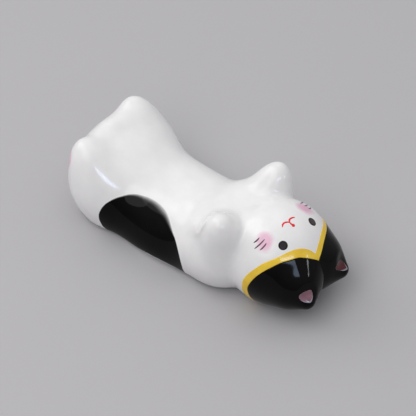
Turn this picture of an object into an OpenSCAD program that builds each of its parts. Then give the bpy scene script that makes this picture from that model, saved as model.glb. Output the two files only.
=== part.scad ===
// Glazed porcelain chopstick rest: a cat lying on its back, belly up.
// The chopsticks lie across the hollow belly, between the raised hind feet and the forepaws.
// The head points along +X, the belly faces +Z, and the table is at z = 0.
// Left and right are the cat's own, so its left side is on -Y.
// One smooth skin runs over the whole cat. Each piece is cut or offset from that skin, so they always meet.

/* [Belly] */
// Distance from the part's middle back to the belly's middle
belly_back = 6.5; // [5.8:0.1:7]
// Length of the belly form
belly_len = 36.6; // [35:0.2:38.4]
// Width of the belly
belly_w = 22.4; // [21:0.2:23.6]
// Height of the belly, where the chopsticks lie
belly_h = 11.7; // [10.9:0.1:12.5]
// Depth of the belly form, part of which lies below the table line
belly_deep = 18; // [17:0.2:19]

/* [Hips] */
// Distance from the belly's middle back to the hips' middle
hips_back = 14.4; // [13.6:0.1:15.2]
// Length of the hips
hips_len = 17.6; // [16.6:0.2:18.6]
// Width of the hips
hips_w = 23.4; // [22.4:0.2:24.4]
// Height of the hips
hips_h = 15.3; // [14.5:0.1:16.1]
// Depth of the hips form
hips_deep = 17.4; // [16.6:0.2:18.2]

/* [Chest] */
// Distance from the belly's middle to the chest's middle
chest_fore = 14.4; // [13.6:0.1:15.2]
// Length of the chest
chest_len = 16.8; // [16:0.2:17.8]
// Width of the chest
chest_w = 23.6; // [22.4:0.2:24.6]
// Height of the chest
chest_h = 15.4; // [14.6:0.1:16.2]
// Depth of the chest form
chest_deep = 17.2; // [16.4:0.2:18]

/* [Head] */
// Distance from the chest's middle to the head's middle
head_fore = 9.3; // [8.7:0.1:9.9]
// Length of the head, from chin to crown
head_len = 20.4; // [19.4:0.2:21.4]
// Width of the head
head_w = 21; // [20:0.2:22]
// Height of the face above the table
head_h = 18.3; // [17.5:0.1:19.1]
// Depth of the head form, part of which lies below the table line
head_deep = 20.4; // [19.4:0.2:21.4]

/* [Ears] */
// Distance from the crown back to an ear's root
ear_back = 3.8; // [3.4:0.1:4.2]
// Distance from the centre line to an ear's root
ear_out = 3.5; // [3.2:0.1:3.8]
// Drop of an ear's root below the head's middle
ear_drop = 1.2; // [0.9:0.1:1.5]
// Width of an ear's root
ear_root_w = 10.4; // [9.8:0.1:11]
// Distance from the crown to the ball at an ear's tip
ear_tip_fore = 0.5; // [0.1:0.1:0.9]
// Distance from the centre line to the ball at an ear's tip
ear_tip_out = 5.1; // [4.8:0.1:5.4]
// Drop of an ear's tip below the head's middle
ear_tip_drop = 2.1; // [1.8:0.1:2.4]
// Width of an ear's tip
ear_tip_w = 3.6; // [3.3:0.1:3.9]
// Length of the ear's root that belongs to the head, up to the joint
ear_joint = 3.3; // [3.1:0.1:3.6]
// Depth of the hollow in front of an ear
ear_dish = 0.45; // [0.2:0.05:0.6]
// Width of that hollow
ear_dish_w = 4.6; // [4:0.1:5]

/* [Forelegs] */
// Distance from the chest's middle to a foreleg's root
arm_fore = 0.8; // [0.4:0.1:1.2]
// Distance from the centre line to a foreleg's root
arm_out = 6.3; // [5.9:0.1:6.7]
// Height of a foreleg's root
arm_up = 9.4; // [8.8:0.1:10]
// Thickness of a foreleg
arm_w = 9.4; // [9:0.1:9.8]
// Distance from the chest's middle to a paw's tip
paw_fore = 2.6; // [2.2:0.1:3]
// Distance from the centre line to a paw's tip
paw_out = 9.4; // [8.8:0.1:10]
// Height of a paw's tip
paw_h = 19.8; // [19:0.1:20.6]

/* [Hind legs] */
// Distance from the centre line to a hind leg's root
leg_out = 7.2; // [6.8:0.1:7.6]
// Height of a hind leg's root
leg_up = 8; // [7.4:0.1:8.6]
// Thickness of a hind leg
leg_w = 9.6; // [9.2:0.1:10]
// Distance from the hips' middle back to a foot's tip
foot_back = 4; // [3.6:0.1:4.4]
// Distance from the centre line to a foot's tip
foot_out = 7.3; // [6.9:0.1:7.7]
// Drop of a foot's tip below a paw's tip
foot_drop = 2.6; // [2:0.1:3.2]
// Distance from the hips' middle to the front of the hind leg piece
leg_front = 6.3; // [5.9:0.1:6.7]
// Distance from the centre line to the inner side of the hind leg piece
leg_inner = 4.2; // [3.9:0.1:4.6]

/* [Ridge between the feet] */
// Distance from the hips' middle back to the ridge
ridge_back = 2.8; // [2.4:0.1:3.2]
// Length of the ridge form
ridge_len = 8.2; // [7.8:0.1:8.8]
// Width of the ridge form
ridge_w = 17.2; // [16.2:0.2:18.2]
// Height of the ridge
ridge_h = 16.7; // [15.9:0.1:17.3]
// Depth of the ridge form
ridge_deep = 15.4; // [14.6:0.2:16.2]

/* [Blends] */
// Softness of the run from hips to belly to chest
body_blend = 9.7; // [8.9:0.1:10.5]
// Softness of the neck crease
head_blend = 2.2; // [1.8:0.1:2.6]
// Softness of the ear's root
ear_blend = 3.9; // [3.5:0.1:4.3]
// Softness of the foreleg's root
arm_blend = 4.9; // [4.5:0.1:5.3]
// Softness of the hind leg's root
leg_blend = 4.2; // [3.8:0.1:4.6]
// Roundness of the foot edge round the flat base
base_round = 2.5; // [2.1:0.1:2.9]

/* [Coats] */
// Gap between the porcelain and a coat
coat_gap = 0.05; // [0.04:0.01:0.08]
// Thickness of a full coat
coat_t = 0.15; // [0.1:0.01:0.2]
// Thickness of a thin wash
wash_t = 0.08; // [0.05:0.01:0.1]
// Height of the white edge left above the table
coat_foot = 0.8; // [0.6:0.1:1.2]

/* [Hood] */
// Angle from the crown to the hood's edge on the centre line
hood_front_angle = 21; // [18:1:24]
// Angle from the crown to the hood's edge at the cheeks
hood_side_angle = 86; // [82:1:90]
// Angle round the head at which the hood's edge reaches the cheeks
hood_turn_angle = 105; // [98:1:112]
// Sharpness of the notch in the hood on the centre line
notch_share = 1.35; // [1.2:0.05:1.5]
// Width of the yellow band
band_w = 1.45; // [1.2:0.05:1.7]

/* [Flank patch] */
// Distance from the belly's middle back to the patch's highest place
patch_back = 1.6; // [1:0.1:2.2]
// Length of the patch behind that place
patch_rear = 9.5; // [9:0.1:10]
// Length of the patch ahead of that place
patch_front = 10.9; // [10.4:0.1:11.4]
// Angle up the flank to the patch's highest place
patch_angle = 27; // [24:1:30]

/* [Face] */
// Place of the eyes toward the crown, as a share of half the head's length
eye_fore_share = 0.46; // [0.43:0.01:0.49]
// Place of an eye away from the centre line, as a share of half the head's width
eye_out_share = 0.4; // [0.37:0.01:0.43]
// Width of an eye
eye_w = 1.8; // [1.6:0.1:2]
// Place of the nose toward the crown, as a share of half the head's length
nose_fore_share = 0.355; // [0.35:0.005:0.37]
// Width of the nose
nose_w = 0.65; // [0.6:0.05:0.7]
// Place of the mouth's middle toward the crown, as a share of half the head's length
mouth_fore_share = 0.28; // [0.27:0.005:0.285]
// Width of the mouth
mouth_w = 3.5; // [3.2:0.1:3.8]
// Depth of each curve of the mouth
mouth_drop = 0.6; // [0.5:0.05:0.7]
// Width of a painted line
line_w = 0.28; // [0.24:0.01:0.32]
// Place of a blush toward the crown, as a share of half the head's length
blush_fore_share = 0.15; // [0.13:0.01:0.17]
// Place of a blush away from the centre line, as a share of half the head's width
blush_out_share = 0.55; // [0.53:0.01:0.57]
// Width of a blush
blush_w = 3.6; // [3.3:0.1:3.8]
// Place of the whiskers toward the crown, as a share of half the head's length
whisker_fore_share = 0.065; // [0.05:0.005:0.08]
// Place of the whiskers away from the centre line, as a share of half the head's width
whisker_out_share = 0.62; // [0.6:0.01:0.64]
// Distance from one whisker to the next
whisker_step = 0.95; // [0.85:0.05:1.05]
// Length of the longest whisker, seen from above
whisker_len = 2.3; // [2.1:0.1:2.5]
// Slant of the whiskers
whisker_angle = 23; // [18:1:28]

/* [Pads and linings] */
// Width of a sole pad
pad_w = 4; // [3.6:0.1:4.4]
// Height of a sole pad
pad_len = 5; // [4.6:0.1:5.4]
// Turn of a sole pad from straight back to the side
pad_angle = 24; // [20:1:28]
// Half the turn that an ear lining takes round the ear
lining_turn = 46; // [40:1:52]
// Half the rise that an ear lining takes toward the tip
lining_rise = 32; // [28:1:36]

/* [Hidden] */
left = -1;
right = 1;

// Places of the forms
belly_c = [-belly_back, 0, belly_h - belly_deep / 2];
hips_c = [belly_c.x - hips_back, 0, hips_h - hips_deep / 2];
chest_c = [belly_c.x + chest_fore, 0, chest_h - chest_deep / 2];
head_c = [chest_c.x + head_fore, 0, head_h - head_deep / 2];
ridge_c = [hips_c.x - ridge_back, 0, ridge_h - ridge_deep / 2];
leg_root = [hips_c.x, leg_out, leg_up];
foot_tip = [hips_c.x - foot_back, foot_out, paw_h - foot_drop];
arm_root = [chest_c.x + arm_fore, arm_out, arm_up];
paw_tip = [chest_c.x + paw_fore, paw_out, paw_h];
ear_root = head_c + [head_len / 2 - ear_back, ear_out, -ear_drop];
ear_tip = head_c + [head_len / 2 + ear_tip_fore, ear_tip_out, -ear_tip_drop];

// Half sizes of the forms
belly_r = [belly_len, belly_w, belly_deep] / 2;
hips_r = [hips_len, hips_w, hips_deep] / 2;
chest_r = [chest_len, chest_w, chest_deep] / 2;
head_r = [head_len, head_w, head_deep] / 2;
ridge_r = [ridge_len, ridge_w, ridge_deep] / 2;

// Lines and reaches along which the skin is found
axis_share = 0.64;
axis_z = belly_h * axis_share;
reach_share = 1.3;
body_reach = max(paw_h - axis_z, hips_w / 2, chest_w / 2) * reach_share;
head_reach = head_len / 2 + ear_tip_fore + ear_tip_w;
rear_x = hips_c.x;
neck_o = [head_c.x, 0, axis_z];

// Levels of the coats above the porcelain
coat_low = coat_gap;
coat_high = coat_gap + coat_t;
wash_high = coat_gap + wash_t;
line_low = wash_high + coat_gap;
line_high = line_low + wash_t;

// Fineness of the meshes
sectors = 52;
wall_rows = 23;
dome_rows = 10;
head_rows = 21;
neck_rows = 4;
limb_sides = 24;
limb_rows = 7;
leg_rows = 22;
leg_cols = 12;
hood_rows = 7;
seam_cols = 12;
edge_cols = 26;
band_cols = 48;
patch_cols = 22;
patch_rows = 8;
patch_bias = 1.5;
spot_sides = 20;
spot_rings = 2;
line_cols = 24;
stem_cols = 2;
end_angle = 4;
tip_power = 8;
whisker_cols = 6;
find_steps = 5;
seek_steps = 12;
snap_share = 0.0001;
tiny = 0.000001;

// The smooth skin: soft unions of ellipsoids, long eggs and cones
function soft_min(a, b, k) = let (h = max(k - abs(a - b), 0) / k) min(a, b) - h * h * h * k / 6;
function egg(p, c, r) = let (
    q = p - c,
    k0 = norm([q.x / r.x, q.y / r.y, q.z / r.z]),
    k1 = norm([q.x / r.x ^ 2, q.y / r.y ^ 2, q.z / r.z ^ 2]))
    k0 * (k0 - 1) / max(k1, tiny);
function limb(p, root, tip, r) = let (
    v = tip - root,
    len = norm(v),
    q = p - root,
    along = q * v / len,
    across = sqrt(max(q * q - along * along, 0)),
    k0 = norm([along / len, across / r]),
    k1 = norm([along / len ^ 2, across / r ^ 2]))
    k0 * (k0 - 1) / max(k1, tiny);
function cone(p, a, b, ra, rb) = let (
    v = b - a,
    len2 = v * v,
    dr = ra - rb,
    slope2 = len2 - dr * dr,
    q = p - a,
    y = q * v,
    z = y - len2,
    w = q * len2 - v * y,
    x2 = w * w,
    k = sign(dr) * dr * dr * x2)
    sign(z) * slope2 * z * z * len2 > k ? sqrt(x2 + z * z * len2) / len2 - rb
    : sign(y) * slope2 * y * y * len2 < k ? sqrt(x2 + y * y * len2) / len2 - ra
    : (sqrt(x2 * slope2 / len2) + y * dr) / len2 - ra;
function body_f(q) = let (
    rump = soft_min(egg(q, hips_c, hips_r), egg(q, belly_c, belly_r), body_blend),
    trunk = soft_min(rump, egg(q, chest_c, chest_r), body_blend),
    feet = soft_min(limb(q, leg_root, foot_tip, leg_w / 2), egg(q, ridge_c, ridge_r), leg_blend))
    soft_min(soft_min(trunk, feet, leg_blend), limb(q, arm_root, paw_tip, arm_w / 2), arm_blend);
function head_f(q) = let (
    ear = cone(q, ear_root, ear_tip, ear_root_w / 2, ear_tip_w / 2))
    soft_min(egg(q, head_c, head_r), ear, ear_blend);
function fold(p) = [p.x, abs(p.y), p.z];
function skin_f(p) = let (
    q = fold(p),
    cat = soft_min(body_f(q), head_f(q), head_blend))
    -soft_min(-cat, p.z, base_round);

// Distance from o along d to the skin at a level above the porcelain
function find(o, d, a, b, level = 0, n = find_steps) = let (m = (a + b) / 2)
    n == 0 ? settle(o, d, level, a, skin_f(o + a * d) - level, b, skin_f(o + b * d) - level)
    : skin_f(o + m * d) > level ? find(o, d, a, m, level, n - 1) : find(o, d, m, b, level, n - 1);
function settle(o, d, level, a, fa, b, fb) = let (
    m = a - fa * (b - a) / (fb - fa),
    fm = skin_f(o + m * d) - level)
    fm > 0 ? a - fa * (m - a) / (fm - fa) : m - fm * (b - m) / (fb - fm);
function on_table(p) = [p.x, p.y, p.z < belly_h * snap_share ? 0 : p.z];
function body_point(o, d, level = 0) = on_table(o + find(o, d, 0, body_reach, level) * d);
function head_point(d, level = 0) = on_table(head_c + find(head_c, d, 0, head_reach, level) * d);
function unit(v) = v / norm(v);
function polar(theta, phi) = [cos(theta), sin(theta) * cos(phi), sin(theta) * sin(phi)];
function turn(j, n) = -90 + 360 * j / n;
function middle(points) = [for (p = points) 1] * points / len(points);

// A closed solid from rings of points, with a point at each end
module rings(rows, first, last) {
    n = len(rows[0]);
    m = len(rows);
    points = concat([for (row = rows) each row], [first, last]);
    walls = [for (i = [0:m - 2], j = [0:n - 1]) let (a = i * n + j, b = i * n + (j + 1) % n)
        each [[a, a + n, b], [b, a + n, b + n]]];
    front = [for (j = [0:n - 1]) [m * n, j, (j + 1) % n]];
    back = [for (j = [0:n - 1]) [m * n + 1, (m - 1) * n + (j + 1) % n, (m - 1) * n + j]];
    polyhedron(points, concat(walls, front, back));
}
module side(s) {
    mirror([0, s < 0 ? 1 : 0, 0]) children();
}

// A box that starts at o and lies along v
module along_box(o, v, w, h) {
    u = unit(v);
    translate(o) rotate([0, acos(u.z), atan2(u.y, u.x)]) translate([-w / 2, -w / 2, 0]) cube([w, w, h]);
}

// The neck joint, where the head's form and the body's form are level
function neck_inner(d, a = 0, b = body_reach, n = seek_steps) = let (
    m = (a + b) / 2,
    q = fold(neck_o + m * d))
    n == 0 ? m : head_f(q) > body_f(q) ? neck_inner(d, a, m, n - 1) : neck_inner(d, m, b, n - 1);
neck_first = 60;
neck_last = 150;
function neck_theta(phi, a = neck_first, b = neck_last, n = seek_steps) = let (
    m = (a + b) / 2,
    d = polar(m, phi))
    n == 0 ? m : let (q = fold(neck_o + find(neck_o, d, 0, body_reach) * d))
    head_f(q) > body_f(q) ? neck_theta(phi, a, m, n - 1) : neck_theta(phi, m, b, n - 1);
function neck_ring() = [for (j = [0:sectors - 1]) neck_theta(turn(j, sectors))];
function neck_edge(thetas) = [for (j = [0:sectors - 1])
    body_point(neck_o, polar(thetas[j], turn(j, sectors)))];
function neck_disc(thetas) = [for (i = [1:neck_rows - 1]) [for (j = [0:sectors - 1])
    let (d = polar(180 + (thetas[j] - 180) * i / neck_rows, turn(j, sectors)))
    on_table(neck_o + neck_inner(d) * d)]];
function neck_middle() = let (d = [-1, 0, 0]) neck_o + neck_inner(d) * d;

// Joints of the paws, legs and ears
joint_share = 0.65;
paw_reach_share = 0.6;
paw_joint = arm_root + (paw_tip - arm_root) * joint_share;
leg_corner = [hips_c.x + leg_front, leg_inner, axis_z];
ear_base = ear_root + unit(ear_tip - ear_root) * ear_joint;
module paw_space(s) {
    side(s) along_box(paw_joint, paw_tip - arm_root, arm_w, arm_w);
}
module leg_space(s) {
    side(s) translate([leg_corner.x - hips_len, leg_corner.y, -hips_w]) cube([hips_len, hips_w, 2 * hips_w]);
}
module ear_space(s) {
    side(s) along_box(ear_base, ear_tip - ear_root, ear_root_w, ear_root_w);
}

// Porcelain pieces
module torso_form() {
    thetas = neck_ring();
    edge = neck_edge(thetas);
    walls = [for (i = [1:wall_rows]) [for (j = [0:sectors - 1])
        let (x = edge[j].x + (rear_x - edge[j].x) * i / wall_rows)
        body_point([x, 0, axis_z], [0, cos(turn(j, sectors)), sin(turn(j, sectors))])]];
    rear_o = [rear_x, 0, axis_z];
    rear = [for (i = [1:dome_rows - 1]) [for (j = [0:sectors - 1])
        body_point(rear_o, polar(90 + 90 * i / dome_rows, turn(j, sectors)))]];
    rings(concat(neck_disc(thetas), [edge], walls, rear), neck_middle(), body_point(rear_o, [-1, 0, 0]));
}
module torso() {
    color("white") difference() {
        torso_form();
        for (s = [left, right]) {
            paw_space(s);
            leg_space(s);
        }
    }
}
module head_form() {
    thetas = neck_ring();
    edge = neck_edge(thetas);
    skin = [for (i = [1:head_rows - 1]) [for (j = [0:sectors - 1])
        let (d = polar(thetas[j] * i / head_rows, turn(j, sectors)))
        on_table(neck_o + find(neck_o, d, 0, head_reach) * d)]];
    disc = neck_disc(thetas);
    crown = neck_o + find(neck_o, [1, 0, 0], 0, head_reach) * [1, 0, 0];
    rings(concat(skin, [edge], [for (i = [neck_rows - 2:-1:0]) disc[i]]), crown, neck_middle());
}
module head() {
    color("white") difference() {
        head_form();
        for (s = [left, right]) ear_space(s);
    }
}

// A rounded end beyond a joint, found along rays from the joint's middle
function end_frame(v) = let (u = unit(v), f = unit([0, 0, 1] - u.z * u)) [u, f, cross(u, f)];
function end_ray(frame, rise, round) =
    sin(rise) * frame[0] + cos(rise) * (cos(round) * frame[1] + sin(round) * frame[2]);
function paw_point(d) = paw_joint + find(paw_joint, d, 0, arm_w * paw_reach_share) * d;
module forepaw(s) {
    frame = end_frame(paw_tip - arm_root);
    rows = [for (i = [0:limb_rows - 1]) [for (j = [0:limb_sides - 1])
        paw_point(end_ray(frame, 90 * i / limb_rows, -360 * j / limb_sides))]];
    color("white") side(s) rings(rows, paw_joint, paw_point(frame[0]));
}

// The hind leg fills the corner outside two flat joints, found along rays from their shared edge
module hind_leg(s) {
    top = body_point(leg_corner, [0, 0, 1]);
    foot = body_point(leg_corner, [0, 0, -1]);
    rows = [for (i = [1:leg_rows - 1]) let (
        rise = 90 - 180 * i / leg_rows,
        end = rise > 0 ? top : foot) concat(
        [for (k = [0:leg_cols]) let (a = 90 * k / leg_cols)
            body_point(leg_corner, [-cos(rise) * cos(a), cos(rise) * sin(a), sin(rise)])],
        [leg_corner + (end - leg_corner) * abs(rise) / 90])];
    color("white") side(s) rings([for (row = rows) [for (k = [len(row) - 1:-1:0]) row[k]]], top, foot);
}

// Ears, black all over, so their skin lies at the top of the coat
function dish(p) = let (
    c = dish_middle(),
    r = norm(p - c) / (ear_dish_w / 2))
    r < 1 ? ear_dish * (1 - r * r) ^ 2 : 0;
lining_tilt = 37;
function ear_skin(d, level) = ear_base + find(ear_base, d, 0, ear_root_w, level) * d;
function dish_middle() = ear_skin(end_ray(end_frame(ear_tip - ear_root), lining_tilt, 0), coat_high);
function ear_point(d, level) = ear_skin(d, coat_high + level) - dish(ear_skin(d, coat_high)) * d;
module ear(s) {
    frame = end_frame(ear_tip - ear_root);
    rows = [for (i = [0:limb_rows - 1]) [for (j = [0:limb_sides - 1])
        ear_point(end_ray(frame, 90 * i / limb_rows, -360 * j / limb_sides), 0)]];
    color("#151515") side(s) rings(rows, ear_base, ear_point(frame[0], 0));
}
module ear_lining(s) {
    frame = end_frame(ear_tip - ear_root);
    function ring(share, level) = [for (k = [0:spot_sides - 1]) let (
        a = -360 * k / spot_sides,
        d = end_ray(frame, lining_tilt + lining_rise * share * cos(a), lining_turn * share * sin(a)))
        ear_point(d, level)];
    lower = [for (i = [spot_rings:-1:1]) ring(i / spot_rings, coat_gap)];
    upper = [for (i = [1:spot_rings]) ring(i / spot_rings, wash_high)];
    d = end_ray(frame, lining_tilt, 0);
    color("#b8606a") side(s) rings(concat(upper, lower), ear_point(d, wash_high), ear_point(d, coat_gap));
}

// The hood's edge, as an angle from the crown, at a place given by its angle from the top of the head
function hood_rise(delta) = sin(90 * min(abs(delta), hood_turn_angle) / hood_turn_angle);
hood_gain = hood_side_angle - hood_front_angle;
function hood_theta(delta) = hood_front_angle + hood_gain * hood_rise(delta) ^ notch_share;
function hood_slope(delta) = (hood_theta(abs(delta) + 1) - hood_theta(abs(delta))) / sin(hood_theta(delta));
band_turn = band_w / head_r.y * 180 / PI;
function band_theta(delta) = hood_theta(delta) + band_turn * norm([1, hood_slope(delta)]);
function crown_ray(theta, delta) =
    unit([head_r.x * cos(theta), head_r.y * sin(theta) * sin(delta), head_r.z * sin(theta) * cos(delta)]);
function foot_theta(delta, a = 0, b = 90, n = seek_steps) = let (m = (a + b) / 2)
    n == 0 ? m : head_point(crown_ray(m, delta)).z < coat_foot ? foot_theta(delta, a, m, n - 1)
    : foot_theta(delta, m, b, n - 1);
function foot_delta(a = 90, b = 180, n = seek_steps) = let (m = (a + b) / 2)
    n == 0 ? m : head_point(crown_ray(band_theta(m), m)).z < coat_foot ? foot_delta(a, m, n - 1)
    : foot_delta(m, b, n - 1);

// Each half of the hood runs from the rim of its ear joint out to the centre line and the hood's edge
ear_run = unit(ear_tip - ear_root);
function hood_end(delta) = delta < 90 ? hood_theta(delta) : min(hood_theta(delta), foot_theta(delta));
function hood_outline() = let (top = hood_end(0), foot = hood_end(180)) concat(
    [for (j = [0:seam_cols]) crown_ray(top - (top + foot) * j / seam_cols, 0)],
    [for (j = [1:edge_cols - 1]) let (delta = 180 * (1 - j / edge_cols)) crown_ray(hood_end(delta), delta)]);
function hood_line(out, level) = let (
    q = head_point(out) - ear_base,
    rim = ear_skin(unit(q - (q * ear_run) * ear_run), level),
    start = unit(rim - head_c))
    concat([rim], [for (i = [1:hood_rows]) head_point(unit(start + (out - start) * i / hood_rows), level)]);
module black_hood() {
    outline = hood_outline();
    n = len(outline);
    half = [for (level = [coat_high, coat_low], out = outline) each hood_line(out, level)];
    function shared(i, j) = i == hood_rows && j <= seam_cols;
    function id(s, layer, j, i) = (((shared(i, j) ? 0 : s) * 2 + layer) * n + j) * (hood_rows + 1) + i;
    function pair(flip, a, b, c, d) = flip ? [[a, c, b], [b, c, d]] : [[a, b, c], [b, d, c]];
    function sheet(s, layer, j, k) = [for (i = [0:hood_rows - 1]) each pair(s != layer,
        id(s, layer, j, i), id(s, layer, k, i), id(s, layer, j, i + 1), id(s, layer, k, i + 1))];
    function wall(flip, s, i, j, k) =
        pair(flip, id(s, 1, j, i), id(s, 1, k, i), id(s, 0, j, i), id(s, 0, k, i));
    faces = [for (s = [0, 1], j = [0:n - 1]) let (k = (j + 1) % n) each concat(
        sheet(s, 0, j, k),
        sheet(s, 1, j, k),
        wall(s == 1, s, 0, j, k),
        j < seam_cols ? [] : wall(s == 0, s, hood_rows, j, k))];
    color("#101010") polyhedron(concat(half, [for (p = half) [p.x, -p.y, p.z]]), faces);
}
module yellow_band() {
    last = foot_delta();
    steps = [for (i = [0:2]) i / 2];
    rows = [for (i = [0:band_cols]) let (
        delta = last * (2 * i / band_cols - 1),
        near = hood_theta(delta) + band_turn * coat_gap / band_w,
        far = band_theta(delta)) concat(
        [for (t = steps) head_point(crown_ray(near + (far - near) * t, delta), coat_high)],
        [for (t = steps) head_point(crown_ray(far + (near - far) * t, delta), coat_low)])];
    color("#e8b820") rings(rows, middle(rows[0]), middle(rows[band_cols]));
}

// The flank patch, laid out by its place along the body and its angle about the body's axis
rear_share = 2.4;
front_share = 1.6;
patch_x = belly_c.x - patch_back;
function flank_ray(phi) = [0, -cos(phi), sin(phi)];
function flank_foot(x, a = -80, b = 0, n = seek_steps) = let (m = (a + b) / 2)
    n == 0 ? m : body_point([x, 0, axis_z], flank_ray(m)).z < coat_foot ? flank_foot(x, m, b, n - 1)
    : flank_foot(x, a, m, n - 1);
function patch_height(u) = let (k = u < 0 ? rear_share : front_share) (1 - abs(u) ^ k) ^ (1 / k);
module flank_patch() {
    rows = [for (i = [0:patch_cols]) let (
        u = -cos(end_angle + (180 - 2 * end_angle) * i / patch_cols),
        x = patch_x + u * (u < 0 ? patch_rear : patch_front),
        o = [x, 0, axis_z],
        low = flank_foot(x),
        rise = (patch_angle - low) * patch_height(u) / patch_rows ^ patch_bias) concat(
        [for (j = [0:patch_rows]) body_point(o, flank_ray(low + rise * j ^ patch_bias), coat_high)],
        [for (j = [patch_rows:-1:0]) body_point(o, flank_ray(low + rise * j ^ patch_bias), coat_low)])];
    color("#101010") rings(rows, middle(rows[0]), middle(rows[patch_cols]));
}

// Painted marks on the face, each laid round a point of the skin
function on_face(fore, out) = let (o = head_c + [fore, out, 0])
    o + find(o, [0, 0, 1], 0, head_deep * reach_share / 2) * [0, 0, 1];
function aim(o, m, up, s, t) = let (
    u = unit(m - o),
    e = unit(up - (up * u) * u))
    unit(m - o + s * e + t * cross(u, e));
module spot(o, m, up, w, h, low, high) {
    function ring(share, level) = [for (k = [0:spot_sides - 1]) let (
        a = -360 * k / spot_sides,
        d = aim(o, m, up, share * w / 2 * cos(a), share * h / 2 * sin(a)))
        o + find(o, d, 0, head_reach, level) * d];
    upper = [for (i = [1:spot_rings]) ring(i / spot_rings, high)];
    lower = [for (i = [spot_rings:-1:1]) ring(i / spot_rings, low)];
    u = unit(m - o);
    top = o + find(o, u, 0, head_reach, high) * u;
    rings(concat(upper, lower), top, o + find(o, u, 0, head_reach, low) * u);
}
module stroke(path, w, low, high) {
    n = len(path) - 1;
    rows = [for (i = [0:n]) let (
        run = unit(path[min(i + 1, n)] - path[max(i - 1, 0)]),
        across = unit(cross(run, path[i] - head_c)),
        half = w / 2 * sqrt(1 - (abs(2 * i / n - 1) * tip_share) ^ tip_power),
        l = unit(path[i] - across * half - head_c),
        r = unit(path[i] + across * half - head_c))
        [head_point(l, high), head_point(r, high), head_point(r, low), head_point(l, low)]];
    rings(rows, middle(rows[0]), middle(rows[n]));
}
tip_share = 0.98;
module eye(s) {
    m = on_face(eye_fore_share * head_r.x, eye_out_share * head_r.y);
    color("#26262a") side(s) spot(head_c, m, [1, 0, 0], eye_w, eye_w, coat_low, coat_high);
}
nose_fore = nose_fore_share * head_r.x;
module nose() {
    color("#c82a30") spot(head_c, on_face(nose_fore, 0), [1, 0, 0], nose_w, nose_w, coat_low, coat_high);
}

// The mouth is a line of two curves, with a short stem up to the nose
corner_angle = 150;
mouth_fore = mouth_fore_share * head_r.x;
stem_first = mouth_fore + line_w / 2 + coat_gap;
stem_last = nose_fore - nose_w / 2 - coat_gap;
module mouth() {
    path = [for (i = [0:line_cols]) let (u = 2 * i / line_cols - 1)
        on_face(mouth_fore - mouth_drop * sin(corner_angle * abs(u)), u * mouth_w / 2)];
    stem = [for (i = [0:stem_cols]) on_face(stem_first + (stem_last - stem_first) * i / stem_cols, 0)];
    color("#c82a30") {
        stroke(path, line_w, coat_low, coat_high);
        stroke(stem, line_w, coat_low, coat_high);
    }
}
module blush(s) {
    m = on_face(blush_fore_share * head_r.x, blush_out_share * head_r.y);
    color("#e3b5c6") side(s) spot(head_c, m, [1, 0, 0], blush_w, blush_w, coat_low, wash_high);
}

// Three whiskers on each cheek, the middle one the longest
whisker_shares = [0.55, 1, 0.7];
module whiskers(s) {
    color("#3a3033") side(s) for (k = [0:2]) {
        fore = whisker_fore_share * head_r.x + whisker_step * (k - 1);
        out = whisker_out_share * head_r.y;
        half = whisker_len * whisker_shares[k] / 2;
        path = [for (i = [0:whisker_cols]) let (t = half * (2 * i / whisker_cols - 1))
            on_face(fore - t * sin(whisker_angle), out + t * cos(whisker_angle))];
        stroke(path, line_w, line_low, line_high);
    }
}

// The pad on each sole, which faces back and a little outward
pad_share = 0.5;
module sole_pad(s) {
    o = leg_root + (foot_tip - leg_root) * pad_share;
    m = body_point(o, [-cos(pad_angle), sin(pad_angle), 0]);
    color("#e3a9ae") side(s) spot(o, m, [0, 0, 1], pad_len, pad_w, coat_low, wash_high);
}

torso();
head();
ear(left);  // left_ear
ear(right);  // right_ear
forepaw(left);  // left_forepaw
forepaw(right);  // right_forepaw
hind_leg(left);  // left_hind_leg
hind_leg(right);  // right_hind_leg
black_hood();
yellow_band();
flank_patch();
ear_lining(left);  // left_ear_lining
ear_lining(right);  // right_ear_lining
eye(left);  // left_eye
eye(right);  // right_eye
nose();
mouth();
blush(left);  // left_blush
blush(right);  // right_blush
whiskers(left);  // left_whiskers
whiskers(right);  // right_whiskers
sole_pad(left);  // left_sole_pad
sole_pad(right);  // right_sole_pad
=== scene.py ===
import math
import bpy
import numpy as np
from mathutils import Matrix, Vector


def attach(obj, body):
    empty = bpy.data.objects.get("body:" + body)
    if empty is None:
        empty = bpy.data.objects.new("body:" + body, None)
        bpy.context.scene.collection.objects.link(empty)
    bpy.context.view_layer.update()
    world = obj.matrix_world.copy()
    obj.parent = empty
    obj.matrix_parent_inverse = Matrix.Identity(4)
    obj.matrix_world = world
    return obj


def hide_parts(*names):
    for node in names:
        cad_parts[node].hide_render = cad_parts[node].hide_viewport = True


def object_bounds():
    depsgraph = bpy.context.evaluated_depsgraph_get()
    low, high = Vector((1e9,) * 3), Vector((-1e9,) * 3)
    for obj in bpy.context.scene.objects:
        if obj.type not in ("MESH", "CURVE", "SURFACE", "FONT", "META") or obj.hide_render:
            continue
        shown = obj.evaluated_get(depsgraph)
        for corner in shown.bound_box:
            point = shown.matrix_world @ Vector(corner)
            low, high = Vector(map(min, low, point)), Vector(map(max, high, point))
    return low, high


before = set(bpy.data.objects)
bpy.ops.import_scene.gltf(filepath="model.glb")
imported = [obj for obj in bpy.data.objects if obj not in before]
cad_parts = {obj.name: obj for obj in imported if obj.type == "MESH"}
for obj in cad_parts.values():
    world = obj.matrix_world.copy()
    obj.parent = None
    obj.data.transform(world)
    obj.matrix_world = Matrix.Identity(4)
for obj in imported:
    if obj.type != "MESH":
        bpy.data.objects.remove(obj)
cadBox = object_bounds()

# The cat's sizes are in millimetres. The values of the glazes' surface, the floor, the lamps and the
# camera are in metres, as the meshes are, but for the camera's target, lens and sensor
mm = 0.001

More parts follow.
